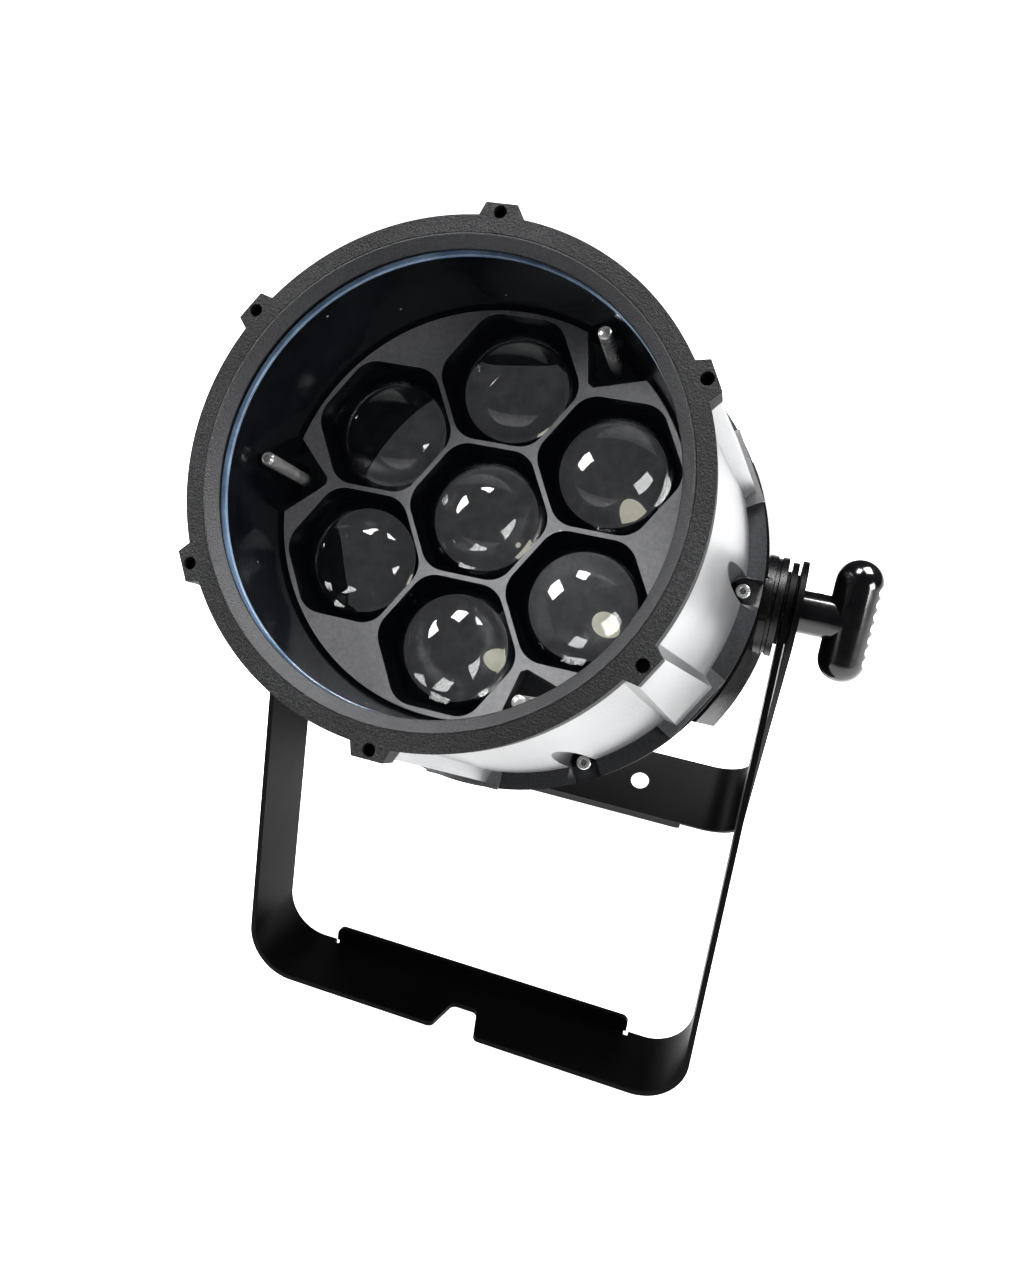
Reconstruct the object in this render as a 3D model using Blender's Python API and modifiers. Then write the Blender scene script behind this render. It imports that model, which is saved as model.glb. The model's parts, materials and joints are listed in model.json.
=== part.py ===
"""Zoom par can: a tilting head with seven lenses, held by two nested U brackets that stand as feet."""
import bmesh
import bpy
from math import acos, asin, atan2, cos, hypot, pi, radians, sin
from mathutils import Matrix, Vector

mm = 0.001
gap = 0.3 * mm  # left between touching pieces
turn_steps = 40  # sides of a large turned piece

# Brackets, measured from the pivot axis
plate = 3.0 * mm
front_length = 292.0 * mm  # pivot to the outer face of the front bar
front_width = 48.0 * mm
front_outer_x = 138.2 * mm
rear_length = 297.0 * mm
rear_width = 51.0 * mm
rear_outer_x = 142.8 * mm
bend_radius = 30.0 * mm
lip_height = 14.0 * mm
lip_half_length = 98.0 * mm
pivot_hole = 6.3 * mm
rear_lean = radians(27.4)
tilt_from_front_bracket = radians(20.4)

# Head, measured forward of the pivot along the beam
bezel_front = 180.0 * mm
bezel_depth = 11.4 * mm
bezel_radius = 102.5 * mm
window_radius = 90.3 * mm
ear_circle = 104.0 * mm
ear_radius = 107.5 * mm
flange_front = 35.0 * mm
flange_back = 24.0 * mm
flange_radius = 123.0 * mm
shell_rear_radius = 114.5 * mm
shell_front_radius = 100.5 * mm
screw_circle = 114.0 * mm
screw_channel = 6.5 * mm
screw_seat = 29.0 * mm
shell_bore = 104.0 * mm
plate_back = 57.0 * mm  # carrier plate of the light engine
plate_front = 60.0 * mm
cover_front = -70.0 * mm
cover_back = -78.0 * mm
cheek_inner = 112.0 * mm
cheek_front = 124.5 * mm
cheek_outer = 131.0 * mm
boss_root = 23.5 * mm
boss_radius = 25.7 * mm
boss_end = 133.2 * mm

# Light engine
lens_pitch = 59.3 * mm
lens_radius = 27.6 * mm
tray_front = 118.0 * mm
tray_floor = 96.0 * mm
rod_circle = 86.7 * mm
rod_radius = 3.0 * mm
rod_tip = 148.2 * mm

# Knobs
knob_start = 143.1 * mm
knob_centre = 168.0 * mm
knob_radius = 11.8 * mm
knob_length = 64.0 * mm
neck_radius = 11.2 * mm

# Both feet stand on the same floor: the front bar on its back edge, the rear bar on its lip
front_reach = hypot(front_length, front_width / 2)
front_phase = atan2(front_width / 2, front_length)
rear_foot = rear_length - plate + lip_height
rear_reach = hypot(rear_foot, rear_width / 2)
rear_phase = atan2(rear_width / 2, rear_foot)
pivot_height = rear_reach * cos(rear_lean - rear_phase)
front_lean = front_phase + acos(pivot_height / front_reach)
head_tilt = front_lean + tilt_from_front_bracket
pivot_y = 23.9 * mm  # puts the middle of the whole object over the origin

thirds = [radians(60 + 120 * k) for k in range(3)]
sixths = [radians(60 * k) for k in range(6)]
between = [radians(30 + 60 * k) for k in range(6)]
along_x = Matrix.Rotation(pi / 2, 4, "Y")  # turns +Z to +X
across = Matrix.Rotation(pi / 2, 4, "X")  # lays a flat outline in the XZ plane


def polar(radius, angle):
    return radius * cos(angle), radius * sin(angle)


def new_collection(name):
    group = bpy.data.collections.new(name)
    bpy.context.scene.collection.children.link(group)
    return group


def finish(name, colour, roughness, metallic):
    material = bpy.data.materials.new(name)
    material.use_nodes = True
    shader = material.node_tree.nodes["Principled BSDF"]
    shader.inputs["Base Color"].default_value = (*colour, 1)
    shader.inputs["Roughness"].default_value = roughness
    shader.inputs["Metallic"].default_value = metallic
    return material


for leftover in list(bpy.data.objects):
    bpy.data.objects.remove(leftover, do_unlink=True)

parts = new_collection("par_can_light")
cutters = new_collection("cutters")

black_textured = finish("black textured paint", (0.02, 0.02, 0.022), 0.55, 0.0)
black_satin = finish("black satin paint", (0.012, 0.012, 0.014), 0.4, 0.0)
anthracite = finish("anthracite paint", (0.06, 0.062, 0.066), 0.5, 0.0)
cast_black = finish("black casting", (0.018, 0.018, 0.02), 0.4, 0.0)
silver = finish("silver satin paint", (0.62, 0.63, 0.64), 0.38, 0.6)
tray_black = finish("moulded tray", (0.03, 0.03, 0.032), 0.45, 0.0)
clear = finish("clear lens", (0.9, 0.92, 0.93), 0.05, 0.0)
steel = finish("bright steel", (0.7, 0.7, 0.7), 0.25, 1.0)
aluminium = finish("bare aluminium", (0.75, 0.75, 0.76), 0.35, 1.0)
rubber = finish("black rubber", (0.015, 0.015, 0.015), 0.7, 0.0)
gloss_black = finish("black moulding", (0.012, 0.012, 0.012), 0.2, 0.0)
circuit = finish("circuit board", (0.03, 0.12, 0.06), 0.5, 0.0)


def axis_empty(name, parent, location, turn_x):
    empty = bpy.data.objects.new(name, None)
    parts.objects.link(empty)
    empty.parent = parent
    empty.location = location
    empty.rotation_euler = (turn_x, 0, 0)
    return empty


pivot = (0, pivot_y, pivot_height)
head = axis_empty("head_axis", None, pivot, pi / 2 - head_tilt)
front_arm = axis_empty("front_bracket_axis", None, pivot, -front_lean)
rear_arm = axis_empty("rear_bracket_axis", None, pivot, rear_lean)


def place(name, mesh, material, parent, location=(0, 0, 0), turn=None):
    item = bpy.data.objects.new(name, mesh)
    (parts if material else cutters).objects.link(item)
    item.parent = parent
    item.location = location
    if turn:
        item.rotation_euler = turn.to_euler()
    if material:
        mesh.materials.append(material)
    else:
        item.hide_render = True
        item.display_type = "WIRE"
    return item


def solid(name, material, parent, *shapes, location=(0, 0, 0), turn=None):
    """One mesh from primitive shapes; with no material it is a cutter."""
    bm = bmesh.new()
    for shape in shapes:
        shape(bm)
    mesh = bpy.data.meshes.new(name)
    bm.to_mesh(mesh)
    bm.free()
    return place(name, mesh, material, parent, location, turn)


def cylinder(radius, low, high, at=(0, 0), turn=None, sides=24, top_radius=None):
    def shape(bm):
        matrix = (turn or Matrix()) @ Matrix.Translation((at[0], at[1], (low + high) / 2))
        top = radius if top_radius is None else top_radius
        bmesh.ops.create_cone(bm, cap_ends=True, segments=sides, radius1=radius, radius2=top,
                              depth=high - low, matrix=matrix)
    return shape


def block(low, high, turn=None):
    def shape(bm):
        size = Vector(high) - Vector(low)
        middle = (Vector(high) + Vector(low)) / 2
        matrix = (turn or Matrix()) @ Matrix.Translation(middle) @ Matrix.Diagonal((*size, 1))
        bmesh.ops.create_cube(bm, size=1, matrix=matrix)
    return shape


def turned(name, profile, material, parent, steps=turn_steps, location=(0, 0, 0), turn=None):
    """Profile of (radius, height) pairs that runs down the outer side; a ring closes on itself."""
    bm = bmesh.new()
    points = [bm.verts.new((radius, 0, height)) for radius, height in profile]
    for first, second in zip(points, points[1:]):
        bm.edges.new((first, second))
    if profile[0][0] > 0:
        bm.edges.new((points[-1], points[0]))
    mesh = bpy.data.meshes.new(name)
    bm.to_mesh(mesh)
    bm.free()
    item = place(name, mesh, material, parent, location, turn)
    screw = item.modifiers.new("turn", "SCREW")
    screw.steps = steps
    screw.render_steps = steps
    screw.use_merge_vertices = True
    screw.merge_threshold = 0.00001
    return item


def tube(name, inner, outer, low, high, material, parent, steps=turn_steps, **where):
    profile = [(inner, high), (outer, high), (outer, low), (inner, low)]
    return turned(name, profile, material, parent, steps, **where)


def rounded(corners, radius, segments=3):
    """An outline with each corner replaced by an arc."""
    outline = []
    for k, corner in enumerate(corners):
        corner = Vector(corner)
        back = (Vector(corners[k - 1]) - corner).normalized()
        ahead = (Vector(corners[(k + 1) % len(corners)]) - corner).normalized()
        half = back.angle(ahead) / 2
        centre = corner + (back + ahead).normalized() * (radius / sin(half))
        start = corner + back * (radius / (sin(half) / cos(half))) - centre
        end = corner + ahead * (radius / (sin(half) / cos(half))) - centre
        sweep = start.angle_signed(end)
        for step in range(segments + 1):
            arm = start.copy()
            arm.rotate(Matrix.Rotation(-sweep * step / segments, 2))
            outline.append(tuple(centre + arm))
    return outline


def arc(centre, radius, start, end, segments):
    angles = [start + (end - start) * k / segments for k in range(segments + 1)]
    return [(centre[0] + radius * cos(a), centre[1] + radius * sin(a)) for a in angles]


def flat(name, outlines, low, high, material, parent, location=(0, 0, 0), turn=None):
    """A plate between two heights: 2D curves, filled and extruded, then made a mesh."""
    curve = bpy.data.curves.new(name, "CURVE")
    curve.dimensions = "2D"
    curve.fill_mode = "BOTH"
    curve.extrude = (high - low) / 2
    for outline in outlines:
        spline = curve.splines.new("POLY")
        spline.points.add(len(outline) - 1)
        for point, (x, y) in zip(spline.points, outline):
            point.co = (x, y, 0, 1)
        spline.use_cyclic_u = True
    draft = bpy.data.objects.new(name + "_outline", curve)
    parts.objects.link(draft)
    bpy.context.view_layer.update()
    mesh = bpy.data.meshes.new_from_object(draft.evaluated_get(bpy.context.evaluated_depsgraph_get()))
    bpy.data.objects.remove(draft, do_unlink=True)
    bm = bmesh.new()
    bm.from_mesh(mesh)
    bmesh.ops.remove_doubles(bm, verts=bm.verts, dist=0.000001)
    bmesh.ops.dissolve_limit(bm, angle_limit=0.01, verts=bm.verts, edges=bm.edges)
    bmesh.ops.translate(bm, verts=bm.verts, vec=(0, 0, (low + high) / 2))
    bmesh.ops.recalc_face_normals(bm, faces=bm.faces)
    bm.to_mesh(mesh)
    bm.free()
    mesh.name = name
    mesh.materials.clear()
    return place(name, mesh, material, parent, location, turn)


def combine(item, tool, operation="DIFFERENCE"):
    boolean = item.modifiers.new(tool.name, "BOOLEAN")
    boolean.operation = operation
    boolean.object = tool
    boolean.solver = "EXACT"
    return item


def ease(item, width, segments=2):
    bevel = item.modifiers.new("eased edges", "BEVEL")
    bevel.width = width
    bevel.segments = segments
    bevel.limit_method = "ANGLE"
    return item


def u_outline(outer_x, length):
    """A band bent to a U, seen along the pivot's cross direction, open at the top."""
    turn_x = outer_x - bend_radius
    turn_z = -(length - bend_radius)
    inner = bend_radius - plate
    outline = [(outer_x, bend_radius)]
    outline += arc((turn_x, turn_z), bend_radius, 0, -pi / 2, 8)
    outline += arc((-turn_x, turn_z), bend_radius, -pi / 2, -pi, 8)
    outline += [(-outer_x, bend_radius), (plate - outer_x, bend_radius)]
    outline += arc((-turn_x, turn_z), inner, -pi, -pi / 2, 8)
    outline += arc((turn_x, turn_z), inner, -pi / 2, 0, 8)
    outline.append((outer_x - plate, bend_radius))
    return outline


def band_side(width, length):
    """The band seen along the pivot axis: a round end about the pivot, then straight."""
    half = width / 2
    outline = arc((0, 0), half, 0, pi, 16)
    return outline + [(-half, -length - 5 * mm), (half, -length - 5 * mm)]


def bracket(name, outer_x, length, width, parent):
    item = flat(name, [u_outline(outer_x, length)], -width, width, black_satin, parent, turn=across)
    side = flat(name + "_side", [band_side(width, length)], -0.2, 0.2, None, parent,
                turn=Matrix.Rotation(pi / 2, 4, "Z") @ across)
    combine(item, side, "INTERSECT")
    bores = solid(name + "_bores", None, parent, cylinder(pivot_hole, -0.2, 0.2, turn=along_x, sides=32))
    return combine(item, bores)


def lip(name, low, high, back, front, parent):
    """A strip folded at a right angle along the bar, with round corners at its free edge."""
    corner = 4 * mm
    outline = rounded([(-lip_half_length, low), (lip_half_length, low),
                       (lip_half_length, high), (-lip_half_length, high)], corner)
    return flat(name, [outline], -front, -back, None, parent, turn=across)


def front_yoke():
    item = bracket("front_yoke", front_outer_x, front_length, front_width, front_arm)
    edge = front_width / 2
    low = -front_length
    fold = lip("front_lip", low, low + lip_height, edge - plate, edge, front_arm)
    notch_mouth = 12.6 * mm
    notch_end = 8 * mm
    flare = 4 * mm  # round where the notch meets the edge of the bar
    top = rounded([(notch_mouth, -edge), (notch_end, 0), (-notch_end, 0), (-notch_mouth, -edge)], 4 * mm)[4:12]
    side = arc((notch_mouth + flare, -edge + flare), flare, pi, 1.5 * pi, 3)[1:]
    outline = [(notch_mouth + 2 * flare, -edge - 9 * mm), (notch_mouth + 2 * flare, -edge)]
    outline += list(reversed(side)) + top + [(-x, y) for x, y in side]
    outline += [(-notch_mouth - 2 * flare, -edge), (-notch_mouth - 2 * flare, -edge - 9 * mm)]
    notch = flat("front_notch", [outline], low - 9 * mm, low + 9 * mm, None, front_arm)
    slit = 1.5 * mm
    reliefs = [block((x - slit, edge - 4 * mm, low - 2 * mm), (x + slit, edge + 2 * mm, low + 5 * mm))
               for x in (-lip_half_length, lip_half_length)]
    relief = solid("front_reliefs", None, front_arm, *reliefs)
    combine(item, fold, "UNION")
    combine(item, notch)
    combine(item, relief)


def rear_yoke():
    item = bracket("rear_yoke", rear_outer_x, rear_length, rear_width, rear_arm)
    edge = rear_width / 2
    inner_face = -rear_length + plate
    fold = lip("rear_lip", inner_face - lip_height, inner_face, -edge, plate - edge, rear_arm)
    hole_radius = 7 * mm
    side_hole = 61 * mm
    holes = solid("rear_holes", None, rear_arm,
                  *[cylinder(hole_radius, inner_face - 9 * mm, inner_face + 9 * mm, (x, 0))
                    for x in (-side_hole, 0, side_hole)])
    combine(item, fold, "UNION")
    combine(item, holes)


def knob(side, sign):
    """A T handle on a neck, with finger scallops on its outer side, and its threaded stud."""
    start, centre = knob_start, knob_centre
    straight = knob_length / 2 - knob_radius
    quarter = [(knob_radius * sin(a), straight + knob_radius * cos(a))
               for a in [pi / 2 * k / 5 for k in range(6)]]
    profile = [(max(r, 0), z) for r, z in quarter]
    profile += [(r, -z) for r, z in reversed(profile)]
    grip = turned(side + "_knob", profile, gloss_black, front_arm, 20, location=(sign * centre, 0, 0))
    neck = solid(side + "_neck", None, front_arm,
                 cylinder(neck_radius, sign * (start + centre) / 2 - (centre - start) / 2,
                          sign * (start + centre) / 2 + (centre - start) / 2, turn=along_x))
    combine(grip, neck, "UNION")
    scallop = 3.2 * mm
    bite_out = 0.9 * mm
    pitch = 6.2 * mm
    bites = [cylinder(scallop, -0.02, 0.02, (0, 0), sides=12,
                      turn=Matrix.Translation((sign * (centre + knob_radius + bite_out), 0, k * pitch))
                      @ across) for k in range(-3, 4)]
    combine(grip, solid(side + "_scallops", None, front_arm, *bites))
    low, high = sorted((sign * 113 * mm, sign * (start - gap)))
    solid(side + "_stud", steel, front_arm, cylinder(5.8 * mm, low, high, turn=along_x))


def washers(side, sign):
    spans = (("inner", 19 * mm, boss_end + gap, front_outer_x - plate - gap),
             ("outer", 18 * mm, front_outer_x + gap, rear_outer_x - plate - gap))
    for place_name, radius, low, high in spans:
        tube(side + "_" + place_name + "_washer", pivot_hole, radius, low, high, rubber, front_arm, 32,
             turn=along_x if sign > 0 else Matrix.Rotation(pi, 4, "Z") @ along_x)


def ear_outline(reach, inner, top_half, base_half, angle):
    corners = [(inner, -base_half), (reach, -top_half), (reach, top_half), (inner, base_half)]
    spin = Matrix.Rotation(angle, 2)
    return [tuple(spin @ Vector(corner)) for corner in corners]


def front_bezel():
    back = bezel_front - bezel_depth
    seat = bezel_front - 4.8 * mm
    glass_edge = 95.6 * mm
    edge = 1.0 * mm
    profile = [(95.3 * mm, bezel_front), (bezel_radius - edge, bezel_front),
               (bezel_radius, bezel_front - edge), (bezel_radius, back), (glass_edge, back),
               (glass_edge, seat), (window_radius, seat), (window_radius, bezel_front - 3.4 * mm)]
    item = turned("front_bezel", profile, black_textured, head)
    root = bezel_radius - 4 * mm
    outlines = [ear_outline(ear_radius, root, 6.4 * mm, 9.2 * mm, a) for a in between]
    combine(item, flat("bezel_ears", outlines, back, bezel_front - edge, None, head), "UNION")
    holes = [cylinder(2.5 * mm, back - edge, bezel_front + edge, polar(ear_circle, a), sides=12)
             for a in between]
    combine(item, solid("ear_holes", None, head, *holes))


def front_glass():
    top = bezel_front - 4.8 * mm - gap
    edge = 95.3 * mm
    turned("front_glass", [(0, top), (edge, top), (edge, top - 4 * mm), (0, top - 4 * mm)], clear, head)
    tube("glass_gasket", window_radius, edge, bezel_front - bezel_depth + gap, top - 4 * mm - gap,
         rubber, head)


def front_shell():
    top = bezel_front - bezel_depth - gap
    back = flange_front + gap
    lip_inner = 94.5 * mm
    edge = 1 * mm
    band = 3 * mm
    profile = [(lip_inner, top), (shell_front_radius - edge, top), (shell_front_radius, top - edge),
               (shell_rear_radius, back + band), (shell_rear_radius, back), (shell_bore, back),
               (shell_bore, 64 * mm), (97.5 * mm, top - 8 * mm), (lip_inner, top - 6 * mm)]
    item = turned("front_shell", profile, silver, head)
    ribs = [rib_shape(a, top, back) for a in between]
    combine(item, solid("shell_ribs", None, head, *ribs), "UNION")
    pad_half = 19 * mm
    pads = [block((shell_rear_radius - 6 * mm, -pad_half, back), (122 * mm, pad_half, back + band),
                  Matrix.Rotation(a, 4, "Z")) for a in between]
    combine(item, solid("shell_pads", None, head, *pads), "UNION")
    channels = [cylinder(screw_channel, back - 5 * mm, 120 * mm, polar(screw_circle, a), sides=20)
                for a in sixths]
    combine(item, solid("shell_channels", None, head, *channels))


def rib_shape(angle, top, back):
    """A bar that runs back from an ear and rises with the cone of the shell."""
    front = {"outer": (106.2 * mm, 6.6 * mm), "root": (96 * mm, 11.1 * mm)}
    rear = {"outer": (120 * mm, 12.5 * mm), "root": (108 * mm, 16.4 * mm)}

    def shape(bm):
        spin = Matrix.Rotation(angle, 4, "Z")
        for vert in bmesh.ops.create_cube(bm, size=1)["verts"]:
            end = rear if vert.co.z < 0 else front
            reach, half = end["outer" if vert.co.x > 0 else "root"]
            side = 1 if vert.co.y > 0 else -1
            vert.co = spin @ Vector((reach, half * side, back if vert.co.z < 0 else top))
    return shape


def body_flange():
    edge = 0.8 * mm
    bore = 98 * mm
    profile = [(bore, flange_front), (flange_radius - edge, flange_front),
               (flange_radius, flange_front - edge), (flange_radius, flange_back), (bore, flange_back)]
    item = turned("body_flange", profile, anthracite, head)
    above = flange_front + 3 * mm
    wells = [cylinder(screw_channel, screw_seat, above, polar(screw_circle, a), sides=20) for a in sixths]
    combine(item, solid("flange_wells", None, head, *wells))
    mouths = [block((screw_circle, -screw_channel, screw_seat),
                    (flange_radius + 5 * mm, screw_channel, above),
                    Matrix.Rotation(a, 4, "Z")) for a in sixths]
    combine(item, solid("flange_mouths", None, head, *mouths))
    bores = [cylinder(2.3 * mm, 0, screw_seat + 1 * mm, polar(screw_circle, a), sides=8) for a in sixths]
    combine(item, solid("flange_bores", None, head, *bores))
    low = screw_seat + gap
    head_radius, shank, socket = 3.5 * mm, 2 * mm, 1.6 * mm
    for k, a in enumerate(sixths):
        x, y = polar(screw_circle, a)
        profile = [(0, low + 2 * mm), (socket, low + 2 * mm), (socket, low + 4 * mm),
                   (head_radius, low + 4 * mm), (head_radius, low), (shank, low),
                   (shank, flange_back + 1 * mm), (0, flange_back + 1 * mm)]
        turned("shell_screw_%d" % (k + 1), profile, steel, head, 12, location=(x, y, 0))


def pivot_bracket(side, sign, top):
    """A cast cheek on the side of the body with the round boss that the arms clamp on."""
    low = -33 * mm
    foot = 7 * mm
    edge = 1 * mm
    profile = [(cheek_inner, top), (cheek_front - edge, top), (cheek_front, top - edge),
               (cheek_outer, low), (cheek_outer - foot, low - foot), (cheek_inner, low - foot)]
    cheek = turned(side + "_pivot_bracket", profile, cast_black, head)
    lower_end, upper_end = -67 * mm, 66 * mm
    left, right = sorted((sign * 60 * mm, sign * 140 * mm))
    combine(cheek, solid(side + "_cheek_trim", None, head,
                         block((left, lower_end, -60 * mm), (right, upper_end, 60 * mm))), "INTERSECT")
    clear_of_flange = flange_radius + gap
    for radius, start in ((boss_root, 118 * mm), (boss_radius, clear_of_flange)):
        left, right = sorted((sign * start, sign * boss_end))
        combine(cheek, solid(side + "_boss_%d" % round(start / mm), None, head,
                             cylinder(radius, left, right, turn=along_x, sides=32)), "UNION")
    left, right = sorted((sign * 100 * mm, sign * 140 * mm))
    combine(cheek, solid(side + "_boss_bore", None, head,
                         cylinder(pivot_hole, left, right, turn=along_x, sides=16)))
    hollow = cylinder(boss_root + 9 * mm, -cheek_inner, cheek_inner, turn=along_x, sides=32)
    combine(cheek, solid(side + "_hollow", None, head, hollow))


def rear_body():
    wall = 4 * mm
    radius = 105 * mm
    collar = 111.5 * mm
    top = flange_back - gap
    low = cover_front + gap
    profile = [(radius - 1 * mm, top), (collar, top), (collar, top - 4 * mm), (109 * mm, top - 8 * mm),
               (radius, low), (radius - wall, low), (radius - 1 * mm, top - 12 * mm)]
    item = turned("rear_housing", profile, silver, head)
    slot_half = 2.4 * mm
    pitch = 10
    slots = []
    for k in range(36):
        angle = radians(pitch * (k + 0.5))
        if abs(sin(angle)) > 0.66:
            slots.append(block((100 * mm, -slot_half, -52 * mm), (120 * mm, slot_half, 6 * mm),
                               Matrix.Rotation(angle, 4, "Z")))
    combine(item, solid("vent_slots", None, head, *slots))
    for side, sign in (("left", -1), ("right", 1)):
        pivot_bracket(side, sign, top)


def hexagon(centre, apothem, radius):
    reach = apothem / cos(pi / 6)
    corners = [(centre[0] + reach * cos(a), centre[1] + reach * sin(a)) for a in reversed(sixths)]
    return rounded(corners, radius)


def lens_centres():
    return [(0, 0)] + [polar(lens_pitch, a) for a in between]


def lens_tray():
    rim = 90.3 * mm
    notch_mouth = radians(10.9)
    notch_apex = 72 * mm
    notch_half = radians(1.2)
    outline = []
    for a in thirds:
        outline += [polar(notch_apex, a - notch_half), polar(notch_apex, a + notch_half)]
        outline += arc((0, 0), rim, a + notch_mouth, a + radians(120) - notch_mouth, 16)
    item = flat("lens_tray", [outline], tray_floor, tray_front, tray_black, head)
    arm_half = 8 * mm
    arms = [block((60 * mm, -arm_half, tray_floor - 1 * mm),
                  (rod_circle + 4 * mm, arm_half, tray_floor + 5 * mm), Matrix.Rotation(a, 4, "Z"))
            for a in thirds]
    for k, arm in enumerate(arms):
        combine(item, solid("tray_arm_%d" % (k + 1), None, head, arm), "UNION")
    wall = 1.1 * mm
    windows = [hexagon(centre, lens_pitch / 2 - wall, 12 * mm) for centre in lens_centres()]
    combine(item, flat("tray_windows", windows, tray_floor + 4 * mm, tray_front + 5 * mm, None, head))
    low, high = tray_floor - 10 * mm, tray_floor + 10 * mm
    wells = [cylinder(22.5 * mm, low, high, centre, sides=20) for centre in lens_centres()]
    combine(item, solid("tray_wells", None, head, *wells))
    bores = [cylinder(rod_radius + gap, low, high, polar(rod_circle, a), sides=16) for a in thirds]
    combine(item, solid("tray_bores", None, head, *bores))


def cap(radius, height, base, rings):
    """Half the section of a spherical cap, from its crown out to its rim."""
    ball = (radius ** 2 + height ** 2) / (2 * height)
    sweep = asin(radius / abs(ball))
    return [(abs(ball) * sin(sweep * k / rings), base + height - ball + ball * cos(sweep * k / rings))
            for k in range(rings + 1)]


def lenses():
    seat = tray_floor + 4 * mm + gap
    shoulder = seat + 2 * mm
    dome = 17 * mm
    belly = 6 * mm
    upper = cap(lens_radius, dome, shoulder, 5)
    lower = cap(21.5 * mm, -belly, seat, 2)
    profile = upper + [(lens_radius, seat)] + list(reversed(lower))
    for k, (x, y) in enumerate(lens_centres()):
        turned("lens_%d" % (k + 1), profile, clear, head, 16, location=(x, y, 0))


def light_engine():
    carrier = turned("carrier_plate", [(0, plate_front), (103.6 * mm, plate_front), (103.6 * mm, plate_back),
                                       (0, plate_back)], aluminium, head)
    bores = [cylinder(4 * mm, 0, 0.1, polar(rod_circle, a), sides=16) for a in thirds]
    combine(carrier, solid("carrier_bores", None, head, *bores))
    low = plate_front + gap
    face = low + 1.6 * mm
    board = turned("led_board", [(0, face), (80 * mm, face), (80 * mm, low), (0, low)], circuit, head)
    domes = [cylinder(6 * mm, low + 0.5 * mm, face + 3 * mm, at, sides=12, top_radius=5 * mm)
             for at in lens_centres()]
    combine(board, solid("led_domes", None, head, *domes), "UNION")
    liner_top = bezel_front - bezel_depth - 1 * mm
    tube("inner_liner", 91.8 * mm, 93.0 * mm, 66 * mm, liner_top, rubber, head)
    for k, a in enumerate(thirds):
        x, y = polar(rod_circle, a)
        top = plate_back - gap
        motor = [(0, top), (11 * mm, top), (11 * mm, top - 22 * mm), (0, top - 22 * mm)]
        turned("zoom_motor_%d" % (k + 1), motor, gloss_black, head, 20, location=(x, y, 0))
        rod = [(0, rod_tip), (rod_radius - 0.6 * mm, rod_tip), (rod_radius, rod_tip - 0.8 * mm),
               (rod_radius, plate_back), (0, plate_back)]
        turned("lead_screw_%d" % (k + 1), rod, steel, head, 16, location=(x, y, 0))


def heat_sink():
    top = plate_back - gap
    item = turned("heat_sink", [(0, top), (73 * mm, top), (73 * mm, 20 * mm), (0, 20 * mm)], aluminium, head)
    grooves = [block((x - 5.5 * mm, -0.08, 10 * mm), (x + 5.5 * mm, 0.08, 49 * mm))
               for x in [(-54 + 18 * k) * mm for k in range(7)]]
    combine(item, solid("sink_grooves", None, head, *grooves))


def fan():
    high = 18 * mm
    low = -6 * mm
    half = 45 * mm
    frame = solid("fan_frame", gloss_black, head, block((-half, -half, low), (half, half, high)))
    combine(frame, solid("fan_duct", None, head, cylinder(42 * mm, low + 3 * mm, 0.1, sides=32)))
    spokes = [block((-half, -3 * mm, low - 5 * mm), (half, 3 * mm, low + 3 * mm), Matrix.Rotation(a, 4, "Z"))
              for a in (pi / 4, 3 * pi / 4)]
    grille = solid("fan_openings", None, head, cylinder(41 * mm, low - 5 * mm, low + 5 * mm, sides=32))
    combine(grille, solid("fan_hub_plate", None, head, cylinder(16 * mm, -0.1, 0.1, sides=24)))
    for k, spoke in enumerate(spokes):
        combine(grille, solid("fan_spoke_%d" % (k + 1), None, head, spoke))
    combine(frame, grille)
    rotor = solid("fan_rotor", gloss_black, head, cylinder(15 * mm, low + 3 * mm + gap, high - 2 * mm))
    for k in range(7):
        spin = Matrix.Rotation(2 * pi * k / 7, 4, "Z") @ Matrix.Translation((26 * mm, 0, 6 * mm))
        blade = block((-13 * mm, -0.8 * mm, -7 * mm), (14 * mm, 0.8 * mm, 7 * mm),
                      spin @ Matrix.Rotation(radians(50), 4, "X"))
        combine(rotor, solid("fan_blade_%d" % (k + 1), None, head, blade), "UNION")


def electronics():
    supply = block((-60 * mm, -34 * mm, -48 * mm), (60 * mm, 34 * mm, -12 * mm))
    board = block((-55 * mm, 8 * mm, -56 * mm), (55 * mm, 62 * mm, -54 * mm))
    solid("power_supply", aluminium, head, supply)
    solid("main_board", circuit, head, board)


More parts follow.
